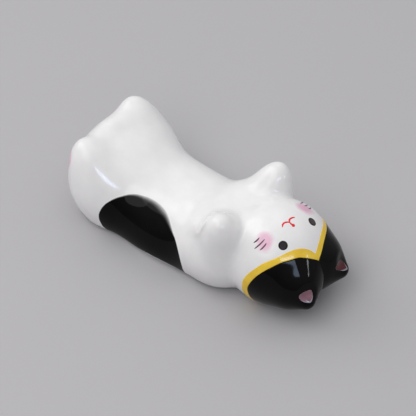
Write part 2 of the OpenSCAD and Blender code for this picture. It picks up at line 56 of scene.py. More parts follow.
# The cat's forms: middle and half sizes. +X is the crown, +Z the belly, -Y the side near the camera
forms = {
    "belly": ((-6.5, 0, 2.7), (18.3, 11.2, 9.0)),
    "hips": ((-20.9, 0, 6.6), (8.8, 11.7, 8.7)),
    "chest": ((7.9, 0, 6.8), (8.4, 11.8, 8.6)),
    "head": ((17.2, 0, 8.1), (10.2, 10.5, 10.2)),
    "ridge": ((-23.7, 0, 9.0), (4.1, 8.6, 7.7)),
}
limbs = {  # root, tip and half thickness
    "leg": ((-20.9, 7.2, 8.0), (-24.9, 7.3, 17.2), 4.8),
    "arm": ((8.7, 6.3, 9.4), (10.5, 9.4, 19.8), 4.7),
}
ear = {"root": (23.6, 3.5, 6.9), "tip": (27.9, 5.1, 6.0), "rootRadius": 5.2, "tipRadius": 1.8,
       "joint": 3.3, "dishDepth": 0.5, "dishRadius": 2.5, "dishTilt": 37, "dishReach": 6.0}
blends = {"body": 9.7, "head": 2.2, "ear": 3.9, "arm": 4.9, "leg": 4.2, "base": 2.5}
joints = {"pawShare": 0.65, "pawReach": 4.9, "legFront": -14.6, "legInner": 4.2}
meshing = {"step": 0.28, "margin": 1.5, "smoothing": 4, "evening": 0.6, "snap": 0.1, "leastSlope": 0.1,
           "hitRounds": 30}
sides = {"left": -1, "right": 1}  # the cat's own left is on -Y
tiny, huge = 1e-9, 1e9  # the least divisor, and a distance beyond any other


def vec(p):
    return np.array(p, float)


def unit(v):
    return v / np.linalg.norm(v, axis=-1, keepdims=True)


# The skin of the cat is one smooth function, negative inside. Its forms run into each other over k
def softMin(a, b, k):
    h = np.maximum(k - np.abs(a - b), 0) / k
    return np.minimum(a, b) - h * h * h * k / 6


def eggField(p, name):
    half = vec(forms[name][1])
    q = p - vec(forms[name][0])
    near = np.linalg.norm(q / half, axis=-1)
    far = np.linalg.norm(q / (half * half), axis=-1)
    return near * (near - 1) / np.maximum(far, tiny)


def limbField(p, name):
    root, tip, half = vec(limbs[name][0]), vec(limbs[name][1]), limbs[name][2]
    length = np.linalg.norm(tip - root)
    q = p - root
    along = q @ unit(tip - root)
    across = np.maximum((q * q).sum(-1) - along * along, 0)
    near = np.sqrt(along ** 2 / length ** 2 + across / half ** 2)
    far = np.sqrt(along ** 2 / length ** 4 + across / half ** 4)
    return near * (near - 1) / np.maximum(far, tiny)


def earField(p):  # a cone with a round root and a round tip
    v = vec(ear["tip"]) - vec(ear["root"])
    q = p - vec(ear["root"])
    length2, narrowing = v @ v, ear["rootRadius"] - ear["tipRadius"]
    slope2 = length2 - narrowing * narrowing
    y = q @ v
    z = y - length2
    w = q * length2 - v * y[..., None]
    x2 = (w * w).sum(-1)
    wall = (np.sqrt(x2 * slope2 / length2) + y * narrowing) / length2 - ear["rootRadius"]
    back = np.sqrt(x2 + y * y * length2) / length2 - ear["rootRadius"]
    tip = np.sqrt(x2 + z * z * length2) / length2 - ear["tipRadius"]
    k = narrowing * narrowing * x2
    return np.where(np.sign(z) * slope2 * z * z * length2 > k, tip,
                    np.where(np.sign(y) * slope2 * y * y * length2 < k, back, wall))


def bodyField(q):
    trunk = softMin(softMin(eggField(q, "hips"), eggField(q, "belly"), blends["body"]),
                    eggField(q, "chest"), blends["body"])
    feet = softMin(limbField(q, "leg"), eggField(q, "ridge"), blends["leg"])
    return softMin(softMin(trunk, feet, blends["leg"]), limbField(q, "arm"), blends["arm"])


def headField(q):
    return softMin(eggField(q, "head"), earField(q), blends["ear"])


def fold(p):  # both sides of the cat have the same form, so it is worked out on +Y
    return np.stack([p[..., 0], np.abs(p[..., 1]), p[..., 2]], -1)


def plainSkin(p):
    q = fold(p)
    cat = softMin(bodyField(q), headField(q), blends["head"])
    return -softMin(-cat, p[..., 2], blends["base"])


# Where a ray from inside the cat comes out
def rayHit(start, direction, reach):
    low, high = 0.0, reach
    for _ in range(meshing["hitRounds"]):
        middle = (low + high) / 2
        if plainSkin((start + middle * direction)[None])[0] < 0:
            low = middle
        else:
            high = middle
    return start + low * direction


# Frame of an ear: along it, out of its front and across, for the ear on +Y
earAlong = unit(vec(ear["tip"]) - vec(ear["root"]))
earFront = unit(vec((0, 0, 1)) - earAlong[2] * earAlong)
earAcross = np.cross(earAlong, earFront)
earBase = vec(ear["root"]) + earAlong * ear["joint"]
dishTilt = math.radians(ear["dishTilt"])
dishWay = math.sin(dishTilt) * earAlong + math.cos(dishTilt) * earFront
dishMiddle = rayHit(earBase, dishWay, ear["dishReach"])


def skin(p):
    away = np.linalg.norm(fold(p) - dishMiddle, axis=-1) / ear["dishRadius"]
    return plainSkin(p) + ear["dishDepth"] * np.maximum(1 - away ** 2, 0) ** 2


def slope(f, p, d=0.004):  # how a function changes along each axis
    g = np.empty_like(p)
    for k in range(3):
        e = np.zeros(3)
        e[k] = d
        g[:, k] = (f(p + e) - f(p - e)) / (2 * d)
    return g


def settle(p, rounds=1):  # places moved onto the skin
    for _ in range(rounds):
        g = slope(skin, p)
        p = p - (skin(p) / (g * g).sum(-1))[:, None] * g
    return p


# The skin wrapped in even quads, with one corner in each grid cell that it crosses
def wrapSkin(low, high, step):
    counts = [int(math.ceil((high[k] - low[k]) / step)) + 1 for k in range(3)]
    grid = np.stack(np.meshgrid(*[low[k] + step * np.arange(counts[k]) for k in range(3)], indexing="ij"), -1)
    within = np.concatenate([skin(layer)[None] for layer in grid]) < 0
    cells = sum(within[i:i + counts[0] - 1, j:j + counts[1] - 1, k:k + counts[2] - 1].astype(int)
                for i in (0, 1) for j in (0, 1) for k in (0, 1))
    crossed = (cells > 0) & (cells < 8)
    number = -np.ones(crossed.shape, int)
    number[crossed] = np.arange(crossed.sum())
    corners = vec(low) + step * (np.argwhere(crossed) + 0.5)
    quads = []
    for axis in range(3):
        b, c = (axis + 1) % 3, (axis + 2) % 3
        first = np.moveaxis(within, axis, 0)
        change = np.argwhere(np.moveaxis(first[:-1] != first[1:], 0, axis))
        outward = within[tuple(change.T)]
        ring = []
        for db, dc in ((-1, -1), (0, -1), (0, 0), (-1, 0)):
            cell = change.copy()
            cell[:, b] += db
            cell[:, c] += dc
            ring.append(number[tuple(cell.T)])
        ring = np.stack(ring, -1)
        ring[~outward] = ring[~outward][:, ::-1]
        quads.append(ring)
    return corners, np.concatenate(quads)


def evenOut(points, quads, rounds):  # corners spread evenly over the skin
    pairs = np.concatenate([quads[:, [k, (k + 1) % 4]] for k in range(4)])
    pairs = np.concatenate([pairs, pairs[:, ::-1]])
    count = np.bincount(pairs[:, 0], minlength=len(points))
    share = meshing["evening"]  # how far each corner moves toward the middle of its neighbours
    for _ in range(rounds):
        total = [np.bincount(pairs[:, 0], points[pairs[:, 1], k], len(points)) for k in range(3)]
        points = settle((1 - share) * points + share * np.stack(total, -1) / count[:, None])
    return points


# A mesh cut along the line where a function is zero; corners close to the line slide onto it
def cutAlong(points, triangles, f, snap):
    points, values = points.copy(), f(points)
    near = np.flatnonzero(np.abs(values) < snap)
    if len(near):
        q = points[near]
        for _ in range(2):
            normal = unit(slope(skin, q))
            g = slope(f, q)
            g -= (g * normal).sum(1)[:, None] * normal
            move = -(f(q) / np.maximum((g * g).sum(1), meshing["leastSlope"]))[:, None] * g
            length = np.linalg.norm(move, axis=1)[:, None]
            q = settle(q + move * np.minimum(1, 2 * snap / np.maximum(length, tiny)))
        points[near], values[near] = q, 0
    sign = np.sign(values).astype(int)
    corner = sign[triangles]
    crossing = corner * np.roll(corner, -1, 1) < 0
    count = crossing.sum(1)
    edges = np.concatenate([np.stack([triangles[:, k], triangles[:, (k + 1) % 3]], 1)[crossing[:, k]]
                            for k in range(3)])
    edges = np.unique(np.sort(edges, 1), axis=0)
    key = edges[:, 0] * len(points) + edges[:, 1]
    v0, v1 = values[edges[:, 0]], values[edges[:, 1]]
    share = (v0 / (v0 - v1))[:, None]
    fresh = settle(points[edges[:, 0]] * (1 - share) + points[edges[:, 1]] * share)

    def middle(a, b):
        return len(points) + np.searchsorted(key, np.minimum(a, b) * len(points) + np.maximum(a, b))

    def turned(t, first):
        return np.take_along_axis(t, (first[:, None] + np.arange(3)) % 3, 1).T

    a, b, c = turned(triangles[count == 1], crossing[count == 1].argmax(1))
    ab = middle(a, b)
    made = [triangles[count == 0], np.stack([a, ab, c], 1), np.stack([ab, b, c], 1)]
    a, b, c = turned(triangles[count == 2], ((~crossing[count == 2]).argmax(1) + 2) % 3)
    ab, ca = middle(a, b), middle(c, a)
    made += [np.stack([a, ab, ca], 1), np.stack([ab, b, ca], 1), np.stack([b, c, ca], 1)]
    return np.concatenate([points, fresh]), np.concatenate(made)


def refine(points, triangles):  # each triangle becomes four, on the skin
    edges = np.concatenate([triangles[:, [0, 1]], triangles[:, [1, 2]], triangles[:, [2, 0]]])
    edges, back = np.unique(np.sort(edges, 1), axis=0, return_inverse=True)
    ab, bc, ca = len(points) + back.ravel().reshape(3, -1)
    fresh = settle((points[edges[:, 0]] + points[edges[:, 1]]) / 2)
    a, b, c = triangles.T
    made = [np.stack(t, 1) for t in ((a, ab, ca), (ab, b, bc), (ca, bc, c), (ab, bc, ca))]
    return np.concatenate([points, fresh]), np.concatenate(made)


def keepUsed(points, triangles):  # drops the corners that no triangle uses
    used, back = np.unique(triangles, return_inverse=True)
    return points[used], back.reshape(-1, 3)


# The open edges of a mesh, and the loops that they join up to
def rimEdges(triangles):
    edges = np.concatenate([triangles[:, [0, 1]], triangles[:, [1, 2]], triangles[:, [2, 0]]])
    _, first, count = np.unique(np.sort(edges, 1), axis=0, return_index=True, return_counts=True)
    return edges[first[count == 1]]


def rimLoops(edges):
    following = {}
    for a, b in edges.tolist():
        following.setdefault(a, []).append(b)
    loops = []
    while following:
        start = next(iter(following))
        loop, here = [], start
        while here in following:
            loop.append(here)
            onward = following[here].pop()
            if not following[here]:
                del following[here]
            here = onward
        loops.append(loop)
    return loops


# A visual piece, in place of its node of the part. Its values are read by the glaze
def makePiece(name, node, points, triangles, normals, material, values):
    mesh = bpy.data.meshes.new(name)
    mesh.from_pydata((points * mm).tolist(), [], triangles.tolist())
    mesh.shade_smooth()
    for label, numbers in values.items():
        mesh.attributes.new(label, "FLOAT", "POINT").data.foreach_set("value", numbers.astype(np.float32))
    mesh.normals_split_custom_set_from_vertices(normals.tolist())
    mesh.materials.append(material)
    piece = bpy.data.objects.new(name, mesh)
    bpy.context.scene.collection.objects.link(piece)
    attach(piece, "root")
    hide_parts(node)


creaseReach = 0.9  # how far in front of the skin the other side of a fold still counts


def creaseDepth(p, normals):  # 0 on open skin, more in a fold; the porcelain is painted darker there, as painted shade
    return np.clip(1 - skin(p + creaseReach * normals) / creaseReach, 0, 1)


# A clay piece is its share of the skin, closed inside the cat at its joints
def makeClay(name, node, points, triangles, material, lift=0.0):
    points, triangles = keepUsed(points, triangles)
    normals = unit(slope(skin, points))
    crease = creaseDepth(points, normals)
    points = points + lift * normals
    caps, middles = [], []
    for loop in rimLoops(rimEdges(triangles)):
        middle = len(points) + len(middles)
        middles.append(points[loop].mean(0))
        caps += [(loop[(i + 1) % len(loop)], loop[i], middle) for i in range(len(loop))]
    points = np.concatenate([points, middles])
    normals = np.concatenate([normals, np.tile(vec((0, 0, -1)), (len(middles), 1))])
    crease = np.concatenate([crease, np.zeros(len(middles))])
    triangles = np.concatenate([triangles, caps])
    makePiece(name, node, points, triangles, normals, material, {"crease": crease})


# Values that the coats share. Before it is cut, a mark takes in the skin to keepWide past its edge,
# and to keepClose once that skin is refined
coat = {"thick": 0.07, "sunk": 0.03, "soft": 0.1, "tiltStep": 0.02, "steepest": 0.8, "keepWide": 0.6,
        "keepClose": 0.25}


# A coat lies on the skin, thins toward its edge and keeps its underside just inside the clay
def makeCoat(name, node, points, triangles, distance, material, look):
    thick, edge = look["thick"], look["edge"]
    soft, lift = look.get("soft", coat["soft"]), look.get("lift", 0)
    points, triangles = keepUsed(points, triangles)
    normals = unit(slope(skin, points))

    def rise(p):
        return lift + (thick - lift) * np.sqrt(1 - (1 - np.clip(-distance(p) / edge, 0, 1)) ** 2)

    tilt = slope(rise, points, coat["tiltStep"])
    tilt -= (tilt * normals).sum(1)[:, None] * normals
    steep = np.linalg.norm(tilt, axis=1)[:, None]
    tilt *= np.minimum(steep, coat["steepest"]) / np.maximum(steep, tiny)
    count = len(points)
    outer, inner = points + rise(points)[:, None] * normals, points - coat["sunk"] * normals
    rim = rimEdges(triangles)
    walls = np.concatenate([np.stack([rim[:, 1], rim[:, 0], rim[:, 0] + count], 1),
                            np.stack([rim[:, 1], rim[:, 0] + count, rim[:, 1] + count], 1)])
    soft = soft(points) if callable(soft) else soft
    values = {"inward": np.tile(-distance(points) / soft, 2),
              "crease": np.tile(creaseDepth(points, normals), 2)}
    makePiece(name, node, np.concatenate([outer, inner]),
              np.concatenate([triangles, triangles[:, ::-1] + count, walls]),
              np.concatenate([unit(normals - tilt), -normals]), material, values)


def inside(points, triangles, f):  # triangles with their middle inside the region
    return f(points[triangles].mean(1)) < 0


# A mark is the share of the skin inside its region, refined as often as its look says
def makeMark(name, node, region, material, look):
    ground = skinTriangles[onEar if look.get("onEars") else ~onEar]
    reach = region(skinPoints)[ground].min(1) < coat["keepWide"]
    points, triangles = keepUsed(skinPoints, ground[reach])
    for _ in range(look["finer"]):
        points, triangles = refine(points, triangles)
        triangles = triangles[region(points)[triangles].min(1) < coat["keepClose"]]
    points, triangles = cutAlong(points, triangles, region, meshing["snap"] / 2 ** look["finer"])
    triangles = triangles[inside(points, triangles, region)]
    makeCoat(name, node, points, triangles, region, material, look)


# Smooth curves and outlines through a few measured places
def curve(x, table):
    xs, ys = vec(table).T
    tangent = np.gradient(ys, xs)
    k = np.clip(np.searchsorted(xs, x) - 1, 0, len(xs) - 2)
    h = xs[k + 1] - xs[k]
    t = np.clip((x - xs[k]) / h, 0, 1)
    return ((2 * t ** 3 - 3 * t ** 2 + 1) * ys[k] + (t ** 3 - 2 * t ** 2 + t) * h * tangent[k]
            + (3 * t ** 2 - 2 * t ** 3) * ys[k + 1] + (t ** 3 - t ** 2) * h * tangent[k + 1])


def smoothOutline(places, parts=10):
    p = vec(places)
    before, after, beyond = np.roll(p, 1, 0), np.roll(p, -1, 0), np.roll(p, -2, 0)
    t = (np.arange(parts) / parts)[None, :, None]
    a, b, c, d = (q[:, None] for q in (before, p, after, beyond))
    line = 0.5 * (2 * b + (c - a) * t + (2 * a - 5 * b + 4 * c - d) * t ** 2
                  + (3 * b - a - 3 * c + d) * t ** 3)
    return line.reshape(-1, p.shape[1])


def outlineDistance(q, outline):  # negative inside
    far = np.full(len(q), huge)
    crossings = np.zeros(len(q), int)
    for a, b in zip(outline, np.roll(outline, -1, 0)):
        run = b - a
        t = np.clip(((q - a) @ run) / (run @ run), 0, 1)
        far = np.minimum(far, np.linalg.norm(q - a - t[:, None] * run, axis=1))
        over = (a[1] > q[:, 1]) != (b[1] > q[:, 1])
        if run[1]:
            crossings += over & (q[:, 0] < a[0] + (q[:, 1] - a[1]) / run[1] * run[0])
    return np.where(crossings % 2 == 1, -far, far)


def onSkin(start, direction, reach=14.0):  # the place on the skin in that direction
    return rayHit(vec(start), unit(vec(direction)), reach)


headMiddle = vec(forms["head"][0])
clayFoot = 0.8  # the hood, the band and the patch stop this far above the table
farOff = 5.0  # distance given to places well away from a mark


# Adds shader nodes, with what their sockets hold or are linked to
def nodeMaker(material):
    tree = material.node_tree

    def add(kind, links=None, **values):
        node = tree.nodes.new(kind)
        for label, value in values.items():
            setattr(node, label, value)
        for label, value in (links or {}).items():
            socket = node.inputs[label]
            if isinstance(value, bpy.types.NodeSocket):
                tree.links.new(value, socket)
            else:
                socket.default_value = value
        return node

    return add


def mixed(add, share, a, b):
    node = add("ShaderNodeMix", data_type="RGBA")
    for socket, value in zip([node.inputs[0], node.inputs[6], node.inputs[7]], (share, a, b)):
        if isinstance(value, bpy.types.NodeSocket):
            node.id_data.links.new(value, socket)
        else:
            socket.default_value = value
    return node.outputs[2]


def colour(c):
    return (*c, 1.0)


# Glazes, all procedural. Each drifts between its deep and its light tone
glazes = {
    # The porcelain's darker fold tone is a grey painted into folds: painted shade
    "porcelain": {"deep": (0.815, 0.812, 0.815), "light": (0.862, 0.858, 0.855), "roughness": 0.13,
                  "specular": 0.45, "foldShade": (0.745, 0.742, 0.75), "bisque": (0.80, 0.76, 0.68),
                  "bisqueRoughness": 0.7},
    "black": {"deep": (0.0008, 0.0008, 0.001), "light": (0.0022, 0.0021, 0.0024), "roughness": 0.05,
              "specular": 0.13},
    "yellow": {"deep": (0.81, 0.51, 0.025), "light": (0.92, 0.65, 0.06), "roughness": 0.13, "specular": 0.45},
    # The two linings are one glaze. It is painted lighter and pinker on the left ear and dark red on the
    # right, as each ear was lit: painted light and shade
    "leftLining": {"deep": (0.13, 0.05, 0.07), "light": (0.27, 0.14, 0.18), "roughness": 0.1,
                   "specular": 0.45},
    "rightLining": {"deep": (0.05, 0.004, 0.006), "light": (0.13, 0.018, 0.022), "roughness": 0.1,
                    "specular": 0.3},
    # A pale bluish tone on the linings' lip near the tip: painted highlight
    "lipHighlight": {"deep": (0.26, 0.24, 0.29), "light": (0.56, 0.56, 0.64)},
    "charcoal": {"deep": (0.035, 0.028, 0.03), "light": (0.075, 0.062, 0.064), "roughness": 0.15,
                 "specular": 0.1},
    "soot": {"deep": (0.01, 0.008, 0.009), "light": (0.022, 0.018, 0.019)},
    "red": {"deep": (0.72, 0.012, 0.018), "light": (0.85, 0.03, 0.04), "roughness": 0.12, "specular": 0.4},
    "blush": {"deep": (0.73, 0.40, 0.54), "light": (0.77, 0.47, 0.615), "roughness": 0.14, "specular": 0.45},
    "brown": {"deep": (0.045, 0.02, 0.032), "light": (0.15, 0.075, 0.10), "roughness": 0.15, "specular": 0.3},
}
surface = {"mottleScale": 320.0, "mottleDetail": 3.0, "mottleLow": 0.3, "mottleHigh": 0.7,
           "waveScale": 90.0, "waveDetail": 1.0, "waveDepth": 0.00001, "waveStrength": 0.25,
           "foldShadeStart": 0.12, "foldShadeEnd": 0.75,
           "footStart": 0.00022, "footEnd": 0.00034, "footRagged": 0.00012}


# A glaze over a ground fades into it at its edge, where ragged is how uneven that edge is
def makeGlaze(name, look, ground=None, ragged=0.5, cover=1.0, haze=None):
    material = bpy.data.materials.new(name)
    material.use_nodes = True
    add = nodeMaker(material)
    shader = material.node_tree.nodes["Principled BSDF"]
    place = add("ShaderNodeTexCoord").outputs["Object"]
    mottle = add("ShaderNodeTexNoise", {"Vector": place, "Scale": surface["mottleScale"],
                                        "Detail": surface["mottleDetail"]}).outputs["Fac"]
    mottle = add("ShaderNodeMapRange", {"Value": mottle, "From Min": surface["mottleLow"],
                                        "From Max": surface["mottleHigh"]}).outputs["Result"]
    base = mixed(add, mottle, colour(look["deep"]), colour(look["light"]))
    # painted shade: the porcelain turns a darker grey in folds, by the crease value
    if "foldShade" in look:
        crease = add("ShaderNodeAttribute", attribute_name="crease").outputs["Fac"]
        foldShaded = add("ShaderNodeMapRange", {"Value": crease, "From Min": surface["foldShadeStart"],
                                            "From Max": surface["foldShadeEnd"]}).outputs["Result"]
        base = mixed(add, foldShaded, base, colour(look["foldShade"]))
    if ground:
        under = mixed(add, mottle, colour(ground["deep"]), colour(ground["light"]))
        inward = add("ShaderNodeAttribute", attribute_name="inward").outputs["Fac"]
        drift = add("ShaderNodeMath", {0: mottle, 1: -0.5}, operation="ADD").outputs[0]  # centred on 0
        drift = add("ShaderNodeMath", {0: drift, 1: ragged, 2: inward}, operation="MULTIPLY_ADD").outputs[0]
        shown = add("ShaderNodeMapRange", {"Value": drift, "To Max": cover},
                    interpolation_type="LINEAR" if haze else "SMOOTHSTEP").outputs["Result"]
        if haze:  # quick at the edge, with a long thin tail
            bare = add("ShaderNodeMath", {0: cover, 1: shown}, operation="SUBTRACT").outputs[0]
            bare = add("ShaderNodeMath", {0: bare, 1: haze}, operation="POWER").outputs[0]
            shown = add("ShaderNodeMath", {0: cover, 1: bare}, operation="SUBTRACT").outputs[0]
        base = mixed(add, shown, under, base)
    wave = add("ShaderNodeTexNoise", {"Vector": place, "Scale": surface["waveScale"],
                                      "Detail": surface["waveDetail"]}).outputs["Fac"]
    bump = add("ShaderNodeBump", {"Height": wave, "Strength": surface["waveStrength"],
                                  "Distance": surface["waveDepth"]})
    material.node_tree.links.new(base, shader.inputs["Base Color"])
    material.node_tree.links.new(bump.outputs["Normal"], shader.inputs["Normal"])
    shader.inputs["Roughness"].default_value = look["roughness"]
    if "bisque" in look:  # the foot that it stands on is bare clay
        height = add("ShaderNodeSeparateXYZ", {0: place}).outputs["Z"]
        bare = add("ShaderNodeMath", {0: mottle, 1: surface["footRagged"], 2: height},
                   operation="MULTIPLY_ADD").outputs[0]
        bare = add("ShaderNodeMapRange", {"Value": bare, "From Min": surface["footEnd"],
                                          "From Max": surface["footStart"]}).outputs["Result"]
        rough = add("ShaderNodeMapRange", {"Value": bare, "To Min": look["roughness"],
                                           "To Max": look["bisqueRoughness"]}).outputs["Result"]
        base = mixed(add, bare, base, colour(look["bisque"]))
        material.node_tree.links.new(base, shader.inputs["Base Color"])
        material.node_tree.links.new(rough, shader.inputs["Roughness"])
    shader.inputs["Specular IOR Level"].default_value = look["specular"]
    return material


print("skin")
low = [cadBox[0][k] / mm - meshing["margin"] for k in range(3)]
high = [cadBox[1][k] / mm + meshing["margin"] for k in range(3)]
skinPoints, quads = wrapSkin(low, high, meshing["step"])
skinPoints = evenOut(settle(skinPoints, rounds=4), quads, meshing["smoothing"])
skinPoints = settle(skinPoints, rounds=2)
skinTriangles = np.concatenate([quads[:, [0, 1, 2]], quads[:, [0, 2, 3]]])

# Where one clay piece ends and the next begins
armRun = vec(limbs["arm"][1]) - vec(limbs["arm"][0])
pawJoint = vec(limbs["arm"][0]) + joints["pawShare"] * armRun


def neckSide(p):
    q = fold(p)
    return headField(q) - bodyField(q)


def earSide(p):
    return (fold(p) - earBase) @ earAlong


def pawSide(p):
    q = fold(p) - pawJoint
    along = q @ unit(armRun)
    across = np.linalg.norm(q - along[:, None] * unit(armRun), axis=1)
    return np.minimum(along, joints["pawReach"] - across)


def legSide(p):
    return np.minimum(joints["legFront"] - p[:, 0], np.abs(p[:, 1]) - joints["legInner"])


for side in (neckSide, earSide, pawSide, legSide):
    skinPoints, skinTriangles = cutAlong(skinPoints, skinTriangles, side, meshing["snap"])
middles = skinPoints[skinTriangles].mean(1)
onEar, onPaw, onLeg = earSide(middles) > 0, pawSide(middles) > 0, legSide(middles) > 0
onHead = (neckSide(middles) < 0) & ~onEar
onTorso = ~(onHead | onEar | onPaw | onLeg)

porcelain = makeGlaze("porcelainGlaze", glazes["porcelain"])
black = makeGlaze("blackGlaze", glazes["black"])
print("clay pieces")
makeClay("torsoClay", "torso", skinPoints, skinTriangles[onTorso], porcelain)
makeClay("headClay", "head", skinPoints, skinTriangles[onHead], porcelain)
for name, way in sides.items():
    mine = middles[:, 1] * way > 0
    paw, leg, blackEar = (skinTriangles[part & mine] for part in (onPaw, onLeg, onEar))
    makeClay(name + "Forepaw", name + "_forepaw", skinPoints, paw, porcelain)
    makeClay(name + "HindLeg", name + "_hind_leg", skinPoints, leg, porcelain)
    makeClay(name + "Ear", name + "_ear", skinPoints, blackEar, black, coat["thick"])

# Hood and band. Each edge is an angle from the crown, at an angle round the head from its top
hood = {
    "nearBlack": ((0, 21), (13, 28), (22, 35), (29, 42), (40, 50), (49, 58), (57, 64), (66, 71), (75, 77),
                  (86, 82.5), (95, 85.6), (107, 86.2), (125, 85), (180, 85)),
    "farBlack": ((0, 21), (18, 28), (32, 37), (48, 48), (66, 63), (86, 78), (105, 85), (130, 85), (180, 85)),
    "nearWhite": ((0, 30), (9, 40), (16, 46), (25, 52), (34, 57), (41, 61), (49, 67), (57, 74), (66, 80),
                  (77, 87), (86, 91), (97, 93), (107, 94), (180, 94)),
    "farWhite": ((0, 30), (18, 38), (31, 46), (47, 56), (66, 72), (86, 87), (105, 93), (180, 94)),
    "leastAngle": 15, "thick": coat["thick"], "edge": 0.18, "finer": 1,
}


def crownDistance(p, near, far):  # negative toward the crown
    q = p - headMiddle
    reach = np.linalg.norm(q, axis=1)
    theta = np.degrees(np.arccos(np.clip(q[:, 0] / reach, -1, 1)))
    around = np.degrees(np.arctan2(q[:, 1], q[:, 2]))
    turn = np.abs(around)
    edge = np.where(around < 0, curve(turn, hood[near]), curve(turn, hood[far]))
    ahead = np.where(around < 0, curve(turn + 1, hood[near]), curve(turn + 1, hood[far]))
    lean = (ahead - edge) / np.sin(np.radians(np.maximum(theta, hood["leastAngle"])))
    return np.radians(theta - edge) * reach / np.sqrt(1 + lean ** 2)


def hoodRegion(p):
    return np.maximum(crownDistance(p, "nearBlack", "farBlack"), clayFoot - p[:, 2])


def bandRegion(p):
    inner, outer = -crownDistance(p, "nearBlack", "farBlack"), crownDistance(p, "nearWhite", "farWhite")
    return np.maximum(np.maximum(inner, outer), clayFoot - p[:, 2])


print("hood and band")
makeMark("blackHood", "black_hood", hoodRegion, black, hood)
yellow = makeGlaze("yellowGlaze", glazes["yellow"])
makeMark("yellowBand", "yellow_band", bandRegion, yellow, hood)

# Flank patch, laid out by the place along the body and the angle up the side
flank = {
    "outline": ((-16.5, -27.4), (-16.9, -21), (-17.15, -13), (-17.0, -6), (-16.4, 2.5), (-15.4, 9.7),
                (-14.3, 15), (-12.9, 20.5), (-11.2, 24.5), (-9, 26), (-7, 25.3), (-5.2, 22), (-3.7, 17.5),
                (-2.4, 12), (-1.1, 6), (0.5, -0.6), (1.75, -8), (2.5, -16.6), (2.75, -25), (2.9, -40),
                (-2, -46), (-12, -46), (-15.2, -36)),
    "axisHeight": 7.5, "perDegree": 0.19, "rear": -20, "front": 6,
    "thick": coat["thick"], "edge": 0.3, "finer": 1,
    "crisp": 0.14, "smoky": 1.7, "haze": 2.6, "ragged": 0.14,  # the upper edge fades like smoke
    "smokyAlong": ((-16, 0), (-13, 0.22), (-11, 0.6), (-9, 1), (-5.5, 1), (-3, 0.5), (-0.5, 0)),
    "smokyFrom": 5, "smokyTo": 8,
    "footFrom": -10, "footTo": -6, "bareFoot": 1.3,  # the glaze stops higher toward the chest
}
flankLine = smoothOutline(flank["outline"]) * (1, flank["perDegree"])


def flankRegion(p):
    angle = np.degrees(np.arctan2(p[:, 2] - flank["axisHeight"], -p[:, 1]))
    place = np.stack([p[:, 0], angle * flank["perDegree"]], -1)
    near = (p[:, 1] < 0) & (p[:, 0] > flank["rear"]) & (p[:, 0] < flank["front"])
    far = np.full(len(p), farOff)
    far[near] = outlineDistance(place[near], flankLine)
    foot = np.interp(p[:, 0], (flank["footFrom"], flank["footTo"]), (clayFoot, flank["bareFoot"]))
    return np.maximum(far, foot - p[:, 2])


def flankSoft(p):
    share = np.interp(p[:, 0], *vec(flank["smokyAlong"]).T)
    share *= np.interp(p[:, 2], (flank["smokyFrom"], flank["smokyTo"]), (0, 1))
    return flank["crisp"] + (flank["smoky"] - flank["crisp"]) * share


print("flank patch")
flank["soft"] = flankSoft
flankBlack = makeGlaze("flankGlaze", glazes["black"], ground=glazes["porcelain"], haze=flank["haze"],
                       ragged=flank["ragged"])
makeMark("flankPatch", "flank_patch", flankRegion, flankBlack, flank)

# Face. Places are directions from the middle of the head, but for the whiskers
face = {
    "eye": {"left": (4.486, -4.37, 8.1), "right": (4.985, 4.014, 8.1), "radius": 0.9, "thick": 0.05,
            "edge": 0.2, "soft": 0.35, "finer": 2},
    "blush": {"left": (1.27, -5.68, 8.1), "right": (1.73, 5.5, 8.1), "radius": 2.4, "thick": 0.03,
              "edge": 0.9, "soft": 1.6, "cover": 0.95, "finer": 2},
    "nose": {"place": (3.05, -0.12, 8.1), "radius": 0.34, "thick": 0.06, "edge": 0.15, "finer": 3},
    "mouth": {"stem": ((2.95, -0.13, 8.1), (2.6, -0.2, 8.1), (2.34, -0.15, 8.1)),
              "near": ((2.34, -0.15, 8.1), (1.98, -0.34, 8.1), (1.77, -0.64, 8.1), (1.68, -0.95, 8.1),
                       (1.74, -1.23, 8.1), (1.97, -1.59, 8.1)),
              "far": ((2.34, -0.15, 8.1), (2.08, -0.02, 8.1), (1.92, 0.22, 8.1), (1.88, 0.5, 8.1),
                      (1.95, 0.85, 8.1), (2.19, 1.26, 8.1)),
              "half": 0.175, "taper": 0.55, "thick": 0.06, "edge": 0.12, "finer": 3},
    "whisker": {"left": (((16.65, -6.91, 15.76), (17.18, -5.82, 16.59)),  # places on the head itself
                         ((17.4, -7.6, 15.13), (18.26, -5.55, 16.69)),
                         ((18.49, -7.34, 15.28), (18.93, -5.92, 16.35))),
                "right": (((17.6, 6.07, 16.42), (16.9, 7.77, 14.96)),
                          ((18.52, 6.18, 16.24), (18.0, 7.7, 14.9)),
                          ((19.41, 6.31, 15.95), (18.95, 7.6, 14.9))),
                "half": 0.145, "taper": 0.8, "bend": 0.12, "points": 9, "thick": 0.08, "lift": 0.03,
                "edge": 0.1, "finer": 3},
}


def spotRegion(middle, radius):
    return lambda p: np.linalg.norm(p - middle, axis=1) - radius


def strokeRegion(lines, half, taper):
    lines = [vec(line) for line in lines]

    def region(p):
        best = np.full(len(p), huge)
        for line in lines:
            steps = np.linalg.norm(np.diff(line, axis=0), axis=1)
            gone, total = np.concatenate([[0], np.cumsum(steps)]), steps.sum()
            for a, b, start, length in zip(line[:-1], line[1:], gone, steps):
                t = np.clip(((p - a) @ (b - a)) / length ** 2, 0, 1)
                share = (start + t * length) / total
                width = half * (1 - taper * np.abs(2 * share - 1) ** 3)
                best = np.minimum(best, np.linalg.norm(p - a - t[:, None] * (b - a), axis=1) - width)
        return best

    return region


def laidLine(places, parts=4):
    line = [onSkin(headMiddle, place) for place in places]
    finer = []
    for a, b in zip(line[:-1], line[1:]):
        finer += [a + (b - a) * k / parts for k in range(parts)]
    return finer + [line[-1]]


